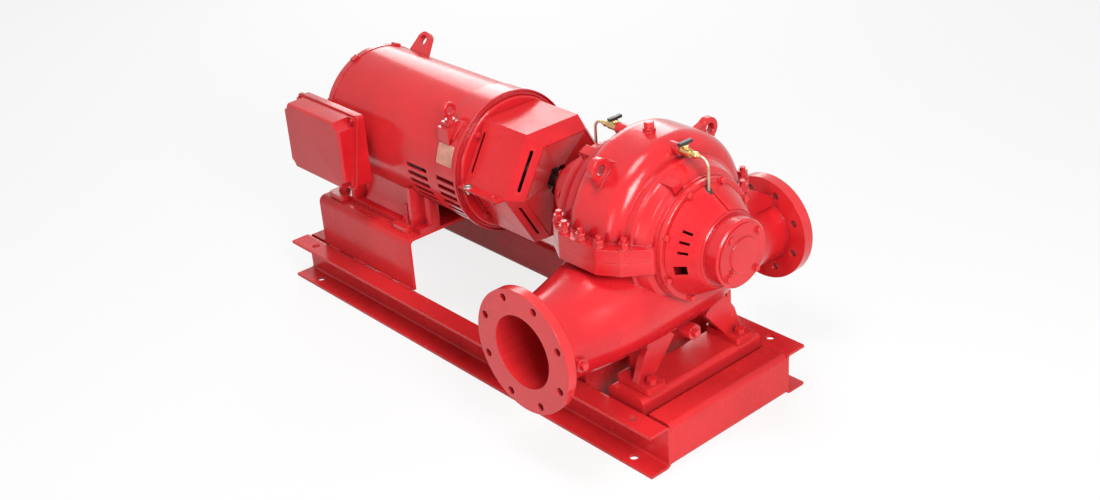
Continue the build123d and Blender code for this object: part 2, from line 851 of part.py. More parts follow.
def gland_guards(side):
    """Near and far sheet guards over the bracket's open sides."""
    flange = casing_half + bracket_flange_thickness
    neck = bracket_neck + outboard_extra(side) - 3
    slope = (bracket_root_radius - bracket_neck_radius) / (neck - flange)
    large = bracket_root_radius + guard_lift
    small = bracket_neck_radius + guard_lift + slope * 0.5
    points = [
        (flange + 0.5, large),
        (flange + 0.5, large + guard_skin),
        (neck - 0.5, small + guard_skin),
        (neck - 0.5, small),
    ]
    shell = pump_turned(points, side)
    middle = pump_x + side * (flange + neck) / 2
    slot = Pos(middle, 0, 0) * Box(24, 60, 7)
    window = Pos(middle - side * 6, -130, 0) * Box(30, 60, 26)
    guards = []
    for side_y in (-1, 1):
        kept = block(pump_x, middle + side * 100, side_y * 6, side_y * 200, 0, 2 * shaft_height)
        guard = shell & kept
        turns = (10, 22, 34)
        for turn in turns if side_y < 0 else [180 - t for t in turns]:
            guard -= Pos(0, 0, shaft_height) * Rot(-turn, 0, 0) * Pos(0, -130, 0) * slot
        guard -= Pos(0, 0, shaft_height) * Rot(12 if side_y < 0 else 168, 0, 0) * window
        guards.append(guard - tube_way(side))
    return guards


def bearing_cover(side):
    """End cover with its stepped rim and raised middle."""
    extra = outboard_extra(side)
    start = bearing_end + extra
    end = cover_end + extra
    points = [
        (start, 0),
        (start, cover_radius),
        (end - 4, cover_radius),
        (end, cover_radius - 4),
        (end, cover_radius - 18),
        (end - 4, cover_radius - 22),
        (end - 4, 52),
        (end - 1, 49),
        (end - 1, 0),
    ]
    cover = pump_turned(points, side)
    x0 = pump_x + side * (start - 1)
    if side > 0:
        return cover - rod_x(x0, pump_x + end - 6, shaft_radius + 4)
    return cover - rod_x(x0, pump_x - end - 1, shaft_radius + 1)


def gland(side):
    """Stuffing box and its gland plate round the shaft."""
    x0 = pump_x + side * casing_half
    x1 = x0 + side * gland_length
    x2 = x1 + side * gland_plate
    body = rod_x(x0, x1, gland_radius) + rod_x(x1, x2, gland_plate_radius)
    return body - rod_x(x0 - side, x2 + side, shaft_radius + gland_gap)


def valve_body(side):
    """Brass valve on the casing's boss, with its outlet nut."""
    x = pump_x + side * valve_offset
    body = rod_x(x, x + side * 34, valve_body_radius, 0, valve_height)
    body += rod_x(x + side * 34, x + side * 44, 8, 0, valve_height)
    stem = x + side * 14
    body += rod_z(valve_height, valve_height + 20, 8, stem, 0)
    return body - rod_z(valve_height + 6, valve_height + 21, 3.05, stem, 0)


def valve_handle(side):
    """Tee handle on the valve's stem."""
    stem = pump_x + side * (valve_offset + 14)
    top = valve_height + 20.3
    handle = Pos(stem, 0, top + 4) * Box(11, 44, 8)
    return handle + rod_z(valve_height + 7, top + 1, 3, stem, 0)


def flush_tube(side):
    """Bent metal tube from the valve down into the gland guard."""
    start = pump_x + side * (valve_offset + 44)
    end = pump_x + side * tube_run
    low = shaft_height + gland_radius + seat_gap
    path = FilletPolyline((start, 0, valve_height), (end, 0, valve_height), (end, 0, low), radius=tube_bend)
    plane = Plane(origin=(start, 0, valve_height), z_dir=(side, 0, 0))
    return sweep(plane * Circle(tube_radius), path=path)


def gauge_place():
    """Inner end of the gauge boss on the suction nozzle's outboard side."""
    return pump_x + suction_bore + suction_wall - 6, -(nozzle_reach - 85), nozzle_height - 24


def drain_place():
    """Outer end of the drain boss low on the belly, under the outboard bracket."""
    return pump_x + belly_half_x - 14 + drain_boss, -22, nozzle_height - 78


def casing_plugs():
    """Vent plug on top, gauge plug on the suction nozzle and drain plug under it."""
    vent = Pos(pump_x, 0, casing_crown() + 8) * extrude(RegularPolygon(14, 6), amount=8, both=True)
    plugs = [vent]
    x, y, z = gauge_place()
    for place, radius in (((x + gauge_boss, y, z), 11), (drain_place(), 12)):
        head = Rot(0, 90, 0) * extrude(RegularPolygon(radius, 6), amount=6, both=True)
        plugs.append(Pos(place[0] + 6, place[1], place[2]) * head)
    return plugs


def bolt(x, y, z, radius, thickness):
    """Hexagon head on a washer, standing on a face at z."""
    head = extrude(RegularPolygon(radius, 6), amount=thickness / 2, both=True)
    return rod_z(z, z + 3, radius * 1.15, x, y) + Pos(x, y, z + 3 + thickness / 2) * head


def pump_foot_bolts():
    """Bolts that hold the pump feet on the pedestals."""
    z = pedestal_top + foot_thickness
    bolts = []
    for side_x in (-1, 1):
        for side_y in (-1, 1):
            bolts.append(bolt(pump_x + side_x * foot_bolt_x, side_y * foot_bolt_y, z, 15, 12))
    return bolts


def motor_foot_bolts():
    """Bolts that hold the motor feet on the riser."""
    z = riser_top + motor_foot_thickness
    return [bolt(x, side * motor_bolt_y, z, 17, 13) for x in motor_bolt_x for side in (-1, 1)]


def pieces():
    """Every node of the pump set by name."""
    middle = coupling_middle()
    gap = coupling_gap / 2
    nodes = {
        "base_channel_near": base_side(-1),
        "base_channel_far": base_side(1),
        "base_end_pump": base_end(1),
        "base_end_motor": base_end(-1),
        "pedestal_outboard": pump_pedestal(1),
        "pedestal_inboard": pump_pedestal(-1),
        "motor_riser": motor_riser(),
        "motor_shell": motor_shell(),
        "stator_core": stator_core(),
        "motor_bell_drive": motor_bell_drive(),
        "motor_bell_rear": motor_bell_rear(),
        "motor_foot_near": motor_foot(-1),
        "motor_foot_far": motor_foot(1),
        "motor_foot_bolts": motor_foot_bolts(),
        "conduit_box": conduit_box(),
        "conduit_cover": conduit_cover(),
        "motor_eyebolt": motor_eyebolt(),
        "motor_lifting_lug": motor_lifting_lug(),
        "guard_upper": coupling_guard(True),
        "guard_lower": coupling_guard(False),
        "motor_shaft": motor_shaft(),
        "hub_motor": coupling_hub(middle - gap, middle - gap - hub_bore_length, motor_shaft_radius),
        "coupling_element": coupling_element(),
        "hub_pump": coupling_hub(middle + gap, middle + gap + hub_bore_length, shaft_radius),
        "pump_shaft": pump_shaft(),
        "lower_casing": lower_casing(),
        "upper_casing": upper_casing(),
        "parting_nuts": parting_nuts(),
        "casing_plugs": casing_plugs(),
        "pump_foot_bolts": pump_foot_bolts(),
    }
    for name, side in (("outboard", 1), ("inboard", -1)):
        nodes["bracket_" + name] = bracket(side)
        nodes["gland_guards_" + name] = gland_guards(side)
        nodes["bearing_cover_" + name] = bearing_cover(side)
        nodes["gland_" + name] = gland(side)
        nodes["valve_" + name] = valve_body(side)
        nodes["valve_handle_" + name] = valve_handle(side)
        nodes["flush_tube_" + name] = flush_tube(side)
    return nodes


def write_steps(nodes):
    """One STEP file for each node."""
    os.makedirs("parts", exist_ok=True)
    for name, shape in nodes.items():
        if isinstance(shape, list):
            shape = Compound(children=[solid for part in shape for solid in part.solids()])
        export_step(shape, "parts/" + name + ".step")


write_steps(pieces())
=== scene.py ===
import bmesh
import bpy
import json
import math
from mathutils import Matrix, Vector


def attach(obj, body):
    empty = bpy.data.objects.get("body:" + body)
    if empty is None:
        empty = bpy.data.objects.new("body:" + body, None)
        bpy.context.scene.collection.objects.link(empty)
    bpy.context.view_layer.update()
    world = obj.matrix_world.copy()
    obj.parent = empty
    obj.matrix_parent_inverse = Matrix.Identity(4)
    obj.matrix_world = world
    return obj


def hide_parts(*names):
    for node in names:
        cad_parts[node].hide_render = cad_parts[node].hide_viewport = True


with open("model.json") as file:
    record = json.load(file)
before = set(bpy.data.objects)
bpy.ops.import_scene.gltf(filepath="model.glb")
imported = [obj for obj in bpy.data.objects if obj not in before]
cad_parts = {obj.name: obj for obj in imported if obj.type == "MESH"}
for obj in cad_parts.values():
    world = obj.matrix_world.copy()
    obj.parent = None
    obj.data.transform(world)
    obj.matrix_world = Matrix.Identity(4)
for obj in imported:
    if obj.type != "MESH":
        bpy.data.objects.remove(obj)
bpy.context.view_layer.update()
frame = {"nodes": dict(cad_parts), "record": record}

# Camera fitted to the base corners and the suction flange, in metres and degrees.
PHOTO_WIDTH = 1100
FOCAL_PIXELS = 1455
SENSOR_MM = 36
CAMERA_PLACE = (3.0036, -2.4133, 2.2582)
CAMERA_AZIMUTH = 50
CAMERA_ELEVATION = 27.5
CAMERA_ROLL = -4.2

# Lamps: name, place, size, power in watts and target, in metres.
LAMPS = (
    ("key", (3.4, -1.2, 2.3), 1.5, 128, (0.6, 0, 0.4)),
    ("top", (0.3, -0.8, 3.6), 1.2, 58, (0, 0, 0.4)),
    ("back", (-3.3, 2.8, 2.4), 2.4, 75, (0, 0, 0.4)),
    ("front", (0.8, -4.2, 1.3), 1.3, 20, (0, 0, 0.4)),
)

# Places and sizes of the small pieces, in metres and degrees, after the CAD model's.
SHAFT = 0.548
PUMP = 0.555
BRACKET_FACE = 0.191
BRACKET_BOLTS = 0.1565
COVER_END = 0.295
COVER_PLATE_FACE = 0.3166
COVER_BOLTS = 0.073
BELL_BOLTS = 0.178
SKIRT = 0.207
GUARD_BOLT_X = (0.034, 0.144)
GUARD_BOLT_Y = 0.203
GUARD_SHEET = 0.003
VALVE_X = 0.112
VALVE_HEIGHT = 0.774
TUBE_X = 0.203
BASE_TOP = 0.130
RISER_HALF = 0.238
BOX_LEFT = -0.712
BOX_RIGHT = -0.412
BOX_LOW = 0.440
BOX_HIGH = 0.660
BOX_BACK = -0.228
COVER_FRONT = -0.322
SPLIT_LOW = -0.289
SPLIT_HIGH = -0.253
POCKET_RADIUS = 0.029
POCKET_FLOOR = 0.011
MOUTH_X = 0.2255
MOUTH_RADIUS = 0.1538
MOUTH_DEPTH = 0.036
SHAFT_HOLE = 0.046
SLOT_HALF = 0.060
SLOT_WIDE = 0.0045
SLOT_PLACES = ((0.016, 0.190), (0.202, 0.174))
MOTOR_BOLT_X = (-0.660, -0.320)
MOTOR_BOLT_Y = 0.176
FOOT_BOLT_TOP = 0.335
APRON_X = (-0.556, -0.320)
APRON_TOP_Y = 0.149
APRON_FOOT_Y = 0.168
APRON_TOP_Z = 0.4125
APRON_FOOT_Z = 0.3192
APRON_WALL = 0.012
SIDE_WEB = 0.229
CORNER_WELD_X = 0.817
RISER_WELDS = (-0.700, -0.560, -0.420, -0.320)
RISER_WELD_LENGTH = 0.062
GUARD_LIFT = 0.0004
END_SHEET = 0.002
BOX_CORNER = 0.009
LIP_CORNER = 0.012
LIP = 0.005
SPLIT_GAP = 0.0004
POCKET_LENGTH = 0.09
SCREW_INSET = 0.009
PLATE_X = (-0.104, -0.036)
PLATE_START = 11
PLATE_TURN = 17
RIVET_X = (-0.099, -0.041)
RIVET_TURNS = (12.5, 26.5)

# Hexagon bolts: corner radius, head height and washer thickness.
BRACKET_BOLT = (0.0092, 0.008, 0.0016)
COVER_BOLT = (0.0096, 0.0060, 0.0014)
BELL_BOLT = (0.0085, 0.007, 0.0015)
GUARD_BOLT = (0.0085, 0.006)
GUARD_NUT = (0.0085, 0.007)
BOX_SCREW = (0.0058, 0.005, 0.001)
MOTOR_NUT = (0.0125, 0.008)
NIPPLE_RADIUS = 0.056
NIPPLE_TURN = 235

# Shares and angles that several pieces use, angles in degrees.
HEX_FLAT = 0.866
WASHER_SHARE = 1.28
SHARP_ANGLE = 32


# Camera and light

def make_camera():
    """Camera at the photograph's viewing angle."""
    azimuth = math.radians(CAMERA_AZIMUTH)
    elevation = math.radians(CAMERA_ELEVATION)
    roll = math.radians(CAMERA_ROLL)
    flat = math.cos(elevation)
    back = Vector((math.sin(azimuth) * flat, -math.cos(azimuth) * flat, math.sin(elevation)))
    level = Vector((math.cos(azimuth), math.sin(azimuth), 0))
    upright = back.cross(level)
    right = level * math.cos(roll) + upright * math.sin(roll)
    up = upright * math.cos(roll) - level * math.sin(roll)
    data = bpy.data.cameras.new("camera")
    data.sensor_width = SENSOR_MM
    data.lens = FOCAL_PIXELS * SENSOR_MM / PHOTO_WIDTH
    data.clip_end = 100
    camera = bpy.data.objects.new("camera", data)
    bpy.context.scene.collection.objects.link(camera)
    turn = Matrix((right, up, back)).transposed().to_4x4()
    camera.matrix_world = Matrix.Translation(Vector(CAMERA_PLACE)) @ turn
    bpy.context.scene.camera = camera


def area_light(name, place, size, power, target):
    """Soft square lamp that points at a target."""
    data = bpy.data.lights.new(name, "AREA")
    data.energy = power
    data.size = size
    lamp = bpy.data.objects.new(name, data)
    lamp.location = place
    aim = Vector(target) - Vector(place)
    lamp.rotation_euler = aim.to_track_quat("-Z", "Y").to_euler()
    bpy.context.scene.collection.objects.link(lamp)


def seen_rays(tree):
    """One for camera, glossy and transmission rays, zero for the rest."""
    path = node(tree, "ShaderNodeLightPath")
    total = path.outputs["Is Camera Ray"]
    for kind in ("Is Glossy Ray", "Is Transmission Ray"):
        add = node(tree, "ShaderNodeMath", operation="ADD", use_clamp=True)
        tree.links.new(total, add.inputs[0])
        tree.links.new(path.outputs[kind], add.inputs[1])
        total = add.outputs[0]
    return total


def make_world():
    """Even surroundings, white to the eye."""
    world = bpy.data.worlds.new("world")
    bpy.context.scene.world = world
    world.use_nodes = True
    tree = world.node_tree
    soft = tree.nodes["Background"]
    soft.inputs["Color"].default_value = (1, 1, 1, 1)
    soft.inputs["Strength"].default_value = WORLD_LEVEL
    white = node(tree, "ShaderNodeBackground", {"Color": (1, 1, 1, 1), "Strength": 1.0})
    blend = node(tree, "ShaderNodeMixShader")
    tree.links.new(seen_rays(tree), blend.inputs["Fac"])
    tree.links.new(soft.outputs["Background"], blend.inputs[1])
    tree.links.new(white.outputs["Background"], blend.inputs[2])
    tree.links.new(blend.outputs["Shader"], tree.nodes["World Output"].inputs["Surface"])


# Materials

def new_material(name):
    """Material with its node tree and shader."""
    material = bpy.data.materials.new(name)
    material.use_nodes = True
    return material, material.node_tree, material.node_tree.nodes["Principled BSDF"]


def node(tree, kind, values=None, **settings):
    """Node with its inputs set by name and its settings by attribute."""
    made = tree.nodes.new(kind)
    for key, value in settings.items():
        setattr(made, key, value)
    for key, value in (values or {}).items():
        made.inputs[key].default_value = value
    return made


def noise(tree, scale, detail=4, stretch=None):
    """Noise in the part's own metres, stretched along an axis where asked."""
    place = node(tree, "ShaderNodeTexCoord")
    texture = node(tree, "ShaderNodeTexNoise", {"Scale": scale, "Detail": detail, "Roughness": 0.55})
    if stretch:
        mapping = node(tree, "ShaderNodeMapping", {"Scale": stretch})
        tree.links.new(place.outputs["Object"], mapping.inputs["Vector"])
        tree.links.new(mapping.outputs["Vector"], texture.inputs["Vector"])
    else:
        tree.links.new(place.outputs["Object"], texture.inputs["Vector"])
    return texture.outputs["Fac"]


def ramp(tree, source, low, high, start=0.0, end=1.0):
    """Source mapped from low..high to start..end, clamped."""
    limits = {"From Min": low, "From Max": high, "To Min": start, "To Max": end}
    made = node(tree, "ShaderNodeMapRange", limits)
    tree.links.new(source, made.inputs["Value"])
    return made.outputs["Result"]


def mix(tree, amount, first, second):
    """Colour mix; first and second are colours or sockets."""
    made = node(tree, "ShaderNodeMix", data_type="RGBA")
    tree.links.new(amount, made.inputs["Factor"])
    for socket, value in ((made.inputs[6], first), (made.inputs[7], second)):
        if isinstance(value, tuple):
            socket.default_value = (*value, 1)
        else:
            tree.links.new(value, socket)
    return made.outputs[2]


def bump(tree, shader, layers, edge=0.0):
    """Stack of bumps from (height, distance, strength), over rounded edges where asked."""
    last = None
    if edge:
        last = node(tree, "ShaderNodeBevel", {"Radius": edge}, samples=4).outputs["Normal"]
    for height, distance, strength in layers:
        made = node(tree, "ShaderNodeBump", {"Distance": distance, "Strength": strength})
        tree.links.new(height, made.inputs["Height"])
        if last:
            tree.links.new(last, made.inputs["Normal"])
        last = made.outputs["Normal"]
    tree.links.new(last, shader.inputs["Normal"])
    tree.links.new(last, shader.inputs["Coat Normal"])


def enamel(name, gloss, peel, cast, edge, coat):
    """Red enamel with painted shade in its creases: gloss sets the roughness, peel the orange peel, cast
    the casting grain.
    """
    material, tree, shader = new_material(name)
    broad = ramp(tree, noise(tree, 5, 3), 0.35, 0.65)
    fine = ramp(tree, noise(tree, 90, 5), 0.4, 0.75)
    base = mix(tree, broad, RED_DEEP, RED_LIGHT)
    speck = mix(tree, ramp(tree, fine, 0, 1, 0, 0.35), base, RED_DEEP)
    # Painted shade: the colour darkens towards the deep red in creases and recesses, where ambient
    # occlusion finds them.
    crease = node(tree, "ShaderNodeAmbientOcclusion", {"Distance": 0.03}, samples=4)
    painted_crease_shade = mix(tree, ramp(tree, crease.outputs["AO"], 0.25, 0.85, 0.75, 0), speck, RED_PAINTED_SHADE)
    worn = node(tree, "ShaderNodeNewGeometry")
    rubbed = mix(tree, ramp(tree, worn.outputs["Pointiness"], 0.53, 0.6, 0, 0.3), painted_crease_shade, RED_RUBBED)
    tree.links.new(rubbed, shader.inputs["Base Color"])
    smudge = ramp(tree, noise(tree, 14, 5), 0.3, 0.7, gloss - 0.05, gloss + 0.09)
    tree.links.new(smudge, shader.inputs["Roughness"])
    shader.inputs["Specular IOR Level"].default_value = PAINT_SPECULAR
    shader.inputs["Coat Weight"].default_value = coat
    shader.inputs["Coat Roughness"].default_value = COAT_ROUGHNESS
    layers = [(noise(tree, 260, 2), 0.0004, peel)]
    if cast:
        layers.append((noise(tree, 420, 4), 0.0008, cast))
        layers.append((noise(tree, 34, 3), 0.0022, cast * 0.7))
    else:
        layers.append((noise(tree, 9, 2), 0.002, 0.12))
    bump(tree, shader, layers, edge)
    return material


def turned_steel(name, color, rough, stretch):
    """Bare turned metal with fine tool marks."""
    material, tree, shader = new_material(name)
    marks = noise(tree, 40, 6, stretch)
    stain = ramp(tree, noise(tree, 26, 5), 0.45, 0.75)
    dull = tuple(0.62 * channel for channel in color)
    tree.links.new(mix(tree, stain, color, dull), shader.inputs["Base Color"])
    tree.links.new(ramp(tree, marks, 0.3, 0.7, rough - 0.08, rough + 0.12), shader.inputs["Roughness"])
    shader.inputs["Metallic"].default_value = 1.0
    bump(tree, shader, [(marks, 0.0003, 0.35)], 0.0008)
    return material


def moulded(name, color, rough):
    """Rubber or moulded plastic with a fine grain."""
    material, tree, shader = new_material(name)
    dust = ramp(tree, noise(tree, 60, 5), 0.4, 0.8, 0, 0.5)
    pale = tuple(channel + 0.035 for channel in color)
    tree.links.new(mix(tree, dust, color, pale), shader.inputs["Base Color"])
    worn = ramp(tree, noise(tree, 110, 3), 0.3, 0.7, rough - 0.06, rough + 0.1)
    tree.links.new(worn, shader.inputs["Roughness"])
    bump(tree, shader, [(noise(tree, 900, 2), 0.0002, 0.4)], 0.001)
    return material


def laminations_with_painted_shade(name):
    """Varnished steel laminations, stacked along the shaft, darkened beyond their own colour as painted
    shade inside the louvres.
    """
    material, tree, shader = new_material(name)
    lines = noise(tree, 30, 2, (40, 0.2, 0.2))
    # Near-black tones: the varnished steel's own dark colour, deepened further as painted shade for the
    # louvres' insides.
    color = mix(tree, ramp(tree, lines, 0.35, 0.65), (0.006, 0.005, 0.005), (0.03, 0.016, 0.014))
    tree.links.new(color, shader.inputs["Base Color"])
    tree.links.new(ramp(tree, lines, 0.3, 0.7, 0.4, 0.65), shader.inputs["Roughness"])
    bump(tree, shader, [(lines, 0.001, 0.6)])
    return material


def floor_paint():
    """Pale floor that keeps a faint shadow under the object."""
    material, tree, shader = new_material("floor_paint")
    shader.inputs["Base Color"].default_value = (0.85, 0.85, 0.85, 1)
    shader.inputs["Roughness"].default_value = 0.9
    white = node(tree, "ShaderNodeEmission", {"Strength": 1.0})
    share = ramp(tree, seen_rays(tree), 0, 1, 0, FLOOR_WHITE)
    blend = node(tree, "ShaderNodeMixShader")
    tree.links.new(share, blend.inputs["Fac"])
    tree.links.new(shader.outputs["BSDF"], blend.inputs[1])
    tree.links.new(white.outputs["Emission"], blend.inputs[2])
    tree.links.new(blend.outputs["Shader"], tree.nodes["Material Output"].inputs["Surface"])
    return material


RED_LIGHT = (0.64, 0.014, 0.020)
RED_DEEP = (0.52, 0.010, 0.016)
# Deep red that creases and recesses darken towards, as painted shade.
RED_PAINTED_SHADE = (0.24, 0.006, 0.011)
RED_RUBBED = (0.74, 0.050, 0.050)
PAINT_SPECULAR = 0.22
COAT_ROUGHNESS = 0.09
FLOOR_WHITE = 0.82
WORLD_LEVEL = 0.22
FINISHES = {
    "red_paint": enamel("red_paint", 0.23, 0.10, 0, 0.0018, 0.02),
    "red_shell": enamel("red_shell", 0.20, 0.06, 0, 0.0014, 0.10),
    "red_cast": enamel("red_cast", 0.20, 0.10, 0.26, 0.0034, 0.45),
    "red_small": enamel("red_small", 0.20, 0.06, 0, 0.0008, 0.30),
    "pale_plate": turned_steel("pale_plate", (0.72, 0.34, 0.26), 0.42, (30, 1, 1)),
    "bare_steel": turned_steel("bare_steel", (0.48, 0.47, 0.45), 0.34, (8, 0.3, 0.3)),
    "bolt_steel": turned_steel("bolt_steel", (0.60, 0.58, 0.54), 0.32, (2, 2, 2)),
    "brass": turned_steel("brass", (0.68, 0.47, 0.20), 0.30, (4, 1, 1)),
    "copper_tube": turned_steel("copper_tube", (0.62, 0.47, 0.33), 0.30, (1, 1, 1)),
    "black_rubber": moulded("black_rubber", (0.022, 0.022, 0.022), 0.62),
    "black_handle": moulded("black_handle", (0.016, 0.016, 0.017), 0.38),
    "dark_core": laminations_with_painted_shade("dark_core"),
}


# Small pieces

class Shape:
    """Mesh that gathers several simple forms into one piece."""

    def __init__(self):
        self.mesh = bmesh.new()

    def lathe(self, points, place, axis, sides=24, phase=0.0):
        """Closed form turned about axis from (distance along, radius) points."""
        turn = Vector(axis).to_track_quat("Z", "Y").to_matrix()
        rings = []
        for along, radius in points:
            ring = []
            for i in range(sides):
                angle = 2 * math.pi * i / sides + phase
                local = Vector((radius * math.cos(angle), radius * math.sin(angle), along))
                ring.append(self.mesh.verts.new(Vector(place) + turn @ local))
            rings.append(ring)
        for low, high in zip(rings, rings[1:]):
            for i in range(sides):
                j = (i + 1) % sides
                self.mesh.faces.new((low[i], low[j], high[j], high[i]))
        self.mesh.faces.new(list(reversed(rings[0])))
        self.mesh.faces.new(rings[-1])

    def loft(self, rings):
        """Closed form through rings of places, each with as many places as the first."""
        made = [[self.mesh.verts.new(place) for place in ring] for ring in rings]
        count = len(made[0])
        for low, high in zip(made, made[1:]):
            for i in range(count):
                j = (i + 1) % count
                self.mesh.faces.new((low[i], low[j], high[j], high[i]))
        self.mesh.faces.new(list(reversed(made[0])))
        self.mesh.faces.new(made[-1])

    def bolt(self, place, axis, radius, height, washer=0.0):
        """Hexagon head with a chamfered top, on a washer where asked."""
        direction = Vector(axis).normalized()
        foot = Vector(place) + direction * washer
        if washer:
            wide = radius * WASHER_SHARE
            rim = [(0, wide - 0.0004), (0.0004, wide), (washer - 0.0005, wide), (washer, wide - 0.0006)]
            self.lathe(rim, place, direction, 28)
        face = radius * HEX_FLAT
        self.lathe([(0, radius), (height * 0.82, radius), (height, face * 0.97)], foot, direction, 6, 0.3)
        crown = [(0, face * 0.8), (height + 0.0002, face * 0.93), (height + 0.0007, face * 0.86)]
        self.lathe(crown, foot, direction, 24)

    def bead(self, start, end, radius, ripples):
        """Weld bead with a rippled crown between two points."""
        line = Vector(end) - Vector(start)
        points = [(0, radius * 0.3)]
        for i in range(ripples):
            middle = line.length * (i + 0.5) / ripples
            edge = line.length * (i + 0.92) / ripples
            wave = 0.12 * math.sin(i * 2.3)
            points.append((middle, radius * (1.05 + wave)))
            points.append((edge, radius * (0.86 + wave)))
        points.append((line.length, radius * 0.3))
        self.lathe(points, start, line, 10)

    def finish(self, name, finish, body, slot, smooth=True):
        """Object that rides on a body."""
        bmesh.ops.recalc_face_normals(self.mesh, faces=self.mesh.faces)
        data = bpy.data.meshes.new(name)
        self.mesh.to_mesh(data)
        self.mesh.free()
        made = bpy.data.objects.new(name, data)
        bpy.context.scene.collection.objects.link(made)
        data.materials.append(FINISHES[finish])
        if smooth:
            for polygon in data.polygons:
                polygon.use_smooth = True
            data.set_sharp_from_angle(angle=math.radians(SHARP_ANGLE))
        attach(made, body)
        return made


def around(x, radius, count, first):
    """Places on a circle about the shaft line, counted from the top towards the far side."""
    for i in range(count):
        angle = math.radians(first + 360 * i / count)
        yield x, radius * math.sin(angle), SHAFT + radius * math.cos(angle)


def bracket_bolts():
    """Bolts of the brackets and of their covers, with a grease nipple on each cover."""
    for side, end in ((1, "outboard"), (-1, "inboard")):
        flange = Shape()
        for place in around(PUMP + side * BRACKET_FACE, BRACKET_BOLTS, 8, 22.5):
            flange.bolt(place, (side, 0, 0), *BRACKET_BOLT)
        flange.finish("bracket_bolts_" + end, "red_small", "set", "red_cast")
        cover = Shape()
        face = PUMP + (COVER_PLATE_FACE if side > 0 else -COVER_END)
        for place in around(face, COVER_BOLTS, 4, 50):
            cover.bolt(place, (side, 0, 0), *COVER_BOLT)
        nipple = [(0, 0.0052), (0.003, 0.0052), (0.0034, 0.0032), (0.008, 0.0026)]
        for place in around(face, NIPPLE_RADIUS, 1, NIPPLE_TURN):
            cover.lathe(nipple, place, (side, 0, 0), 16)
        cover.finish("cover_bolts_" + end, "red_small", "set", "red_cast")


def outboard_cover():
    """Thin stepped cover over the outboard bearing, with room for its bolts."""
    plate = Shape()
    profile = [
        (0, 0.0835),
        (0.0038, 0.0835),
        (0.0046, 0.0825),
        (0.0046, 0.0500),
        (0.0056, 0.0488),
        (0.0082, 0.0480),
        (0.0090, 0.0468),
    ]
    plate.lathe(profile, (PUMP + COVER_PLATE_FACE - 0.0046, 0, SHAFT), (1, 0, 0), 72)
    made = plate.finish("outboard_cover", "red_cast", "set", "red_cast")
    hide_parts("bearing_cover_outboard")


def tube_grommets():
    """Dark grommets where the flush tubes enter the brackets."""
    for side, end, lift, lean in ((1, "outboard", 0.1406, 31.7), (-1, "inboard", 0.1354, 45.6)):
        ring = Shape()
        slope = math.radians(lean)
        axis = Vector((side * math.sin(slope), 0, math.cos(slope)))
        place = Vector((PUMP + side * TUBE_X, 0, SHAFT + lift)) - axis * 0.002
        ring.lathe([(0, 0.0125), (0.0035, 0.0125), (0.0045, 0.0115), (0.0045, 0.006)], place, axis, 32)
        ring.finish("tube_grommet_" + end, "black_rubber", "set", "black_rubber")


def bell_bolts():
    """Bolts that clamp the motor's drive end bracket."""
    screws = Shape()
    for place in around(0, BELL_BOLTS, 4, 45):
        screws.bolt(place, (1, 0, 0), *BELL_BOLT)
    screws.finish("bell_bolts", "red_small", "set", "red_cast")


def guard_bolts():
    """Plated bolts through the guard's edges at the motor, painted ones at the pump."""
    for x, finish, slot in zip(GUARD_BOLT_X, ("bolt_steel", "red_small"), ("bare_steel", "red_paint")):
        bolts = Shape()
        for y in (-GUARD_BOLT_Y, GUARD_BOLT_Y):
            top = SHAFT + GUARD_SHEET
            wide = 0.0145 if finish == "bolt_steel" else 0.010
            rim = [(0, wide - 0.0005), (0.0005, wide), (0.0014, wide), (0.0018, wide - 0.0005)]
            bolts.lathe(rim, (x, y, top), (0, 0, 1), 32)
            bolts.bolt((x, y, top + 0.0018), (0, 0, 1), *GUARD_BOLT)
            low = SHAFT - GUARD_SHEET
            bolts.lathe([(0, 0.011), (0.0016, 0.011)], (x, y, low), (0, 0, -1), 32)
            bolts.bolt((x, y, low - 0.0016), (0, 0, -1), *GUARD_NUT)
            bolts.lathe([(0, 0.0044), (0.015, 0.0044), (0.0162, 0.0036)], (x, y, low), (0, 0, -1), 20)
        bolts.finish("guard_bolts_" + finish, finish, "set", slot)


def hexagon_places(x, radius, half):
    """Corners of the guard's hexagon on its upper or lower side; half is 1 or -1."""
    for i in range(4):
        angle = math.radians(60 * i)
        z = SHAFT + half * (radius * math.sin(angle) + GUARD_LIFT)
        yield x, radius * math.cos(angle), z


def guard_end():
    """Folded end sheets that close in from the guard's mouth to the pump shaft."""
    for half, name in ((1, "upper"), (-1, "lower")):
        sheet = Shape()
        wide = list(hexagon_places(MOUTH_X, MOUTH_RADIUS, half))
        small = list(hexagon_places(MOUTH_X - MOUTH_DEPTH, SHAFT_HOLE, half))
        front = wide + small[::-1]
        back = [(x - END_SHEET, y, z) for x, y, z in front]
        rows = [[sheet.mesh.verts.new(place) for place in row] for row in (front, back)]
        for i in range(3):
            for row in rows:
                sheet.mesh.faces.new((row[i], row[i + 1], row[6 - i], row[7 - i]))
        for i in range(8):
            j = (i + 1) % 8
            sheet.mesh.faces.new((rows[0][i], rows[0][j], rows[1][j], rows[1][i]))
        sheet.finish("guard_end_" + name, "red_paint", "set", "red_paint", False)


def slot_cutter(x, radius, turn):
    """Long rounded slot through one side face of the guard."""
    cutter = Shape()
    face = Matrix.Translation((0, 0, SHAFT)) @ Matrix.Rotation(math.radians(turn), 4, "X")
    outline = []
    for i in range(24):
        angle = math.pi * (i + 0.5) / 12
        end = SLOT_HALF - SLOT_WIDE if math.sin(angle) > 0 else SLOT_WIDE - SLOT_HALF
        outline.append((x + SLOT_WIDE * math.cos(angle), end + SLOT_WIDE * math.sin(angle)))
    depths = (-radius * HEX_FLAT - 0.02, -radius * HEX_FLAT + 0.02)
    cutter.loft([[face @ Vector((px, depth, pz)) for px, pz in outline] for depth in depths])
    return cutter


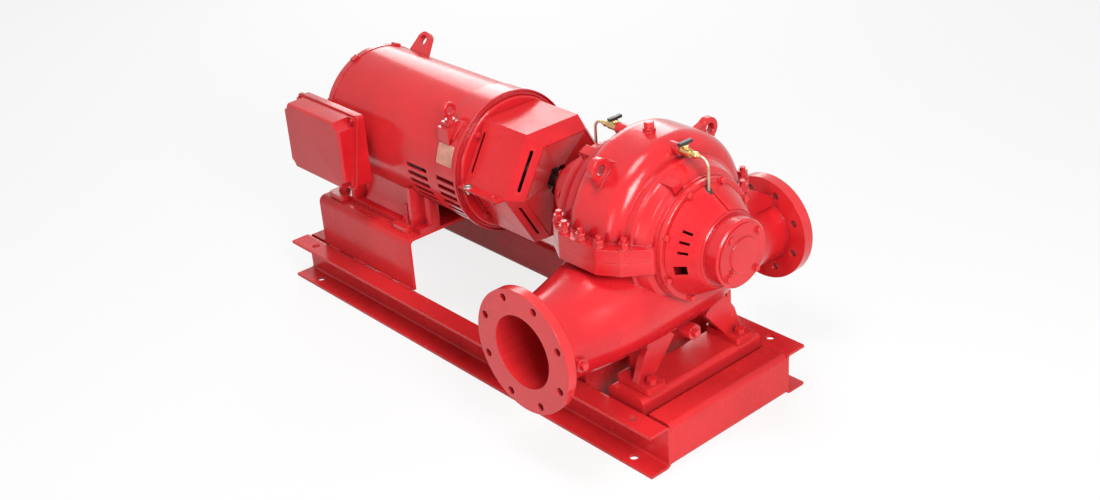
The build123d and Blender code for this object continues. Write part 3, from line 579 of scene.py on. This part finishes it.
def carved(name, source, cutters, finish):
    """New piece from an object's mesh with holes cut through it."""
    copy = bpy.data.objects.new(name, source.data.copy())
    bpy.context.scene.collection.objects.link(copy)
    copy.matrix_world = source.matrix_world
    tools = []
    for cutter in cutters:
        bmesh.ops.recalc_face_normals(cutter.mesh, faces=cutter.mesh.faces)
        data = bpy.data.meshes.new("cutter")
        cutter.mesh.to_mesh(data)
        cutter.mesh.free()
        tool = bpy.data.objects.new("cutter", data)
        bpy.context.scene.collection.objects.link(tool)
        cut = copy.modifiers.new("cut", "BOOLEAN")
        cut.object = tool
        cut.solver = "EXACT"
        tools.append(tool)
    graph = bpy.context.evaluated_depsgraph_get()
    data = bpy.data.meshes.new_from_object(copy.evaluated_get(graph))
    copy.modifiers.clear()
    copy.data = data
    data.materials.clear()
    data.materials.append(FINISHES[finish])
    for tool in tools:
        bpy.data.objects.remove(tool)
    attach(copy, "set")
    return copy


def guard_lower_slots():
    """Lower half of the guard with slots in its side faces, as the upper half has."""
    cutters = []
    for x, radius in SLOT_PLACES:
        for turn in (30, 150):
            cutters.append(slot_cutter(x, radius, turn))
    lower = carved("guard_lower_sheet", frame["nodes"]["guard_lower"], cutters, "red_paint")
    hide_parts("guard_lower")


def split_y(z):
    """Slanted plane in which the terminal box and its cover meet."""
    share = (z - BOX_LOW) / (BOX_HIGH - BOX_LOW)
    return SPLIT_LOW + share * (SPLIT_HIGH - SPLIT_LOW)


def box_ring(grow, corner, depth):
    """Rounded rectangle in the box's outline; depth turns a height into a place along Y."""
    ring = []
    for i in range(24):
        angle = math.pi * (i + 0.5) / 12
        x = BOX_LEFT - grow + corner if math.cos(angle) < 0 else BOX_RIGHT + grow - corner
        z = BOX_LOW - grow + corner if math.sin(angle) < 0 else BOX_HIGH + grow - corner
        z += corner * math.sin(angle)
        ring.append((x + corner * math.cos(angle), depth(z), z))
    return ring


def terminal_box():
    """Terminal box with its slanted rim, and its neck into the motor."""
    body = Shape()
    body.loft([
        box_ring(0, BOX_CORNER, lambda z: BOX_BACK),
        box_ring(0, BOX_CORNER, lambda z: split_y(z) + 0.004),
        box_ring(LIP, LIP_CORNER, lambda z: split_y(z) + 0.004),
        box_ring(LIP, LIP_CORNER, lambda z: split_y(z) + SPLIT_GAP),
    ])
    middle = ((BOX_LEFT + BOX_RIGHT) / 2, BOX_BACK, (BOX_LOW + BOX_HIGH) / 2)
    body.lathe([(0, 0.046), (0.004, 0.046), (0.004, 0.040), (0.055, 0.040)], middle, (0, 1, 0), 40)
    made = body.finish("terminal_box", "red_small", "set", "red_paint")
    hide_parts("conduit_box")


def terminal_cover():
    """Deep cover with rounded edges and a recess for the screw at each corner."""
    cover = Shape()
    rings = [
        box_ring(LIP, LIP_CORNER, lambda z: split_y(z) - SPLIT_GAP),
        box_ring(LIP, LIP_CORNER, lambda z: split_y(z) - 0.0045),
        box_ring(-0.001, 0.010, lambda z: split_y(z) - 0.0045),
    ]
    for i in range(6):
        turn = math.radians(18 * i)
        inset = 0.003 + 0.008 * (1 - math.cos(turn))
        front = COVER_FRONT + 0.008 * (1 - math.sin(turn))
        rings.append(box_ring(-inset, LIP_CORNER, lambda z, front=front: front))
    cover.loft(rings)
    raw = cover.finish("cover_form", "red_small", "set", "red_paint")
    cutters = []
    for x in (BOX_LEFT, BOX_RIGHT):
        for z in (BOX_LOW, BOX_HIGH):
            pocket = Shape()
            start = split_y(z) - POCKET_FLOOR
            profile = [(0, POCKET_RADIUS), (POCKET_LENGTH, POCKET_RADIUS)]
            pocket.lathe(profile, (x, start, z), (0, -1, 0), 40)
            cutters.append(pocket)
    made = carved("terminal_cover", raw, cutters, "red_small")
    bpy.data.objects.remove(raw)
    made.data.set_sharp_from_angle(angle=math.radians(SHARP_ANGLE))
    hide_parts("conduit_cover")


def cover_screws():
    """Screws in the corner recesses of the terminal box cover."""
    screws = Shape()
    for x in (BOX_LEFT + SCREW_INSET, BOX_RIGHT - SCREW_INSET):
        for z in (BOX_LOW + SCREW_INSET, BOX_HIGH - SCREW_INSET):
            screws.bolt((x, split_y(z) - POCKET_FLOOR, z), (0, -1, 0), *BOX_SCREW)
    screws.finish("cover_screws", "red_small", "set", "red_paint")


def motor_studs():
    """Long studs and thin nuts above the motor's foot bolts."""
    studs = Shape()
    for x in MOTOR_BOLT_X:
        for y in (-MOTOR_BOLT_Y, MOTOR_BOLT_Y):
            studs.bolt((x, y, FOOT_BOLT_TOP), (0, 0, 1), *MOTOR_NUT)
            rod = [(0, 0.0070), (0.038, 0.0070), (0.041, 0.0062), (0.043, 0.0045)]
            studs.lathe(rod, (x, y, FOOT_BOLT_TOP), (0, 0, 1), 20)
    studs.finish("motor_studs", "red_small", "set", "red_cast")


def foot_aprons():
    """Cast webs between the motor's foot uprights, from the shell out to the foot rail."""
    for side, end in ((-1, "near"), (1, "far")):
        profile = []
        for i in range(9):
            share = i / 8
            out = APRON_TOP_Y + (APRON_FOOT_Y - APRON_TOP_Y) * share ** 4
            profile.append((out, APRON_TOP_Z + (APRON_FOOT_Z - APRON_TOP_Z) * share))
        inner = [(y - APRON_WALL, z) for y, z in reversed(profile)]
        web = Shape()
        outline = profile + inner
        web.loft([[(x, side * y, z) for y, z in outline] for x in APRON_X])
        web.finish("foot_apron_" + end, "red_cast", "set", "red_cast")


def tube_nuts():
    """Brass nuts at the valves: one on each tube and one under each handle."""
    for side, end in ((1, "outboard"), (-1, "inboard")):
        nuts = Shape()
        x = PUMP + side * (VALVE_X + 0.044)
        nuts.lathe([(0, 0.0092), (0.010, 0.0092), (0.012, 0.007)], (x, 0, VALVE_HEIGHT), (side, 0, 0), 6)
        nuts.lathe([(0, 0.0066), (0.016, 0.0066), (0.018, 0.0052)], (x, 0, VALVE_HEIGHT), (side, 0, 0), 20)
        stem = PUMP + side * (VALVE_X + 0.014)
        bonnet = [(0, 0.0098), (0.007, 0.0098), (0.009, 0.0085)]
        nuts.lathe(bonnet, (stem, 0, VALVE_HEIGHT + 0.009), (0, 0, 1), 6)
        nuts.finish("tube_nuts_" + end, "brass", "set", "brass")


def weld_beads():
    """Intermittent welds along the riser, and down the base's corners."""
    beads = Shape()
    for side in (-1, 1):
        y = side * (RISER_HALF + 0.0005)
        z = BASE_TOP + 0.001
        for start in RISER_WELDS:
            beads.bead((start, y, z), (start + RISER_WELD_LENGTH, y, z), 0.0042, 12)
        y = side * (SIDE_WEB + 0.001)
        for end in (-1, 1):
            x = end * CORNER_WELD_X
            beads.bead((x, y, 0.022), (x, y, 0.108), 0.0036, 16)
    beads.finish("weld_beads", "red_small", "set", "red_paint")


def blank_plate():
    """Blank pale plate on the motor's skirt, with its rivets."""
    plate = Shape()
    steps = 10
    rows = []
    for radius in (SKIRT - 0.0005, SKIRT + 0.0012):
        for x in PLATE_X:
            row = []
            for i in range(steps + 1):
                angle = math.radians(PLATE_START + PLATE_TURN * i / steps)
                place = (x, -radius * math.cos(angle), SHAFT + radius * math.sin(angle))
                row.append(plate.mesh.verts.new(place))
            rows.append(row)
    for i in range(steps):
        for low, high in ((0, 1), (1, 3), (3, 2), (2, 0)):
            plate.mesh.faces.new((rows[low][i], rows[low][i + 1], rows[high][i + 1], rows[high][i]))
    for i in (0, steps):
        plate.mesh.faces.new((rows[0][i], rows[1][i], rows[3][i], rows[2][i]))
    for x in RIVET_X:
        for degrees in RIVET_TURNS:
            angle = math.radians(degrees)
            out = Vector((0, -math.cos(angle), math.sin(angle)))
            place = Vector((x, 0, SHAFT)) + out * (SKIRT + 0.0010)
            plate.lathe([(0, 0.0026), (0.0008, 0.0024), (0.0014, 0.0012)], place, out, 14)
    plate.finish("blank_plate", "pale_plate", "set", "red_paint")


def make_floor():
    """Large pale floor."""
    bpy.ops.mesh.primitive_plane_add(size=60, location=(0, 0, 0))
    floor = bpy.context.object
    floor.name = "floor"
    floor.data.materials.append(floor_paint())


def dress_nodes():
    """Every CAD node takes the finish that the record names for it."""
    slots = {part["node"]: part["material_slot"] for part in frame["record"]["subparts"]}
    for name, part in frame["nodes"].items():
        part.data.materials.clear()
        part.data.materials.append(FINISHES[slots[name]])


make_camera()
for lamp in LAMPS:
    area_light(*lamp)
make_world()
make_floor()
dress_nodes()
bracket_bolts()
outboard_cover()
tube_grommets()
bell_bolts()
guard_bolts()
guard_end()
guard_lower_slots()
terminal_box()
terminal_cover()
cover_screws()
motor_studs()
foot_aprons()
tube_nuts()
weld_beads()
blank_plate()
bpy.context.scene.view_settings.view_transform = "Standard"
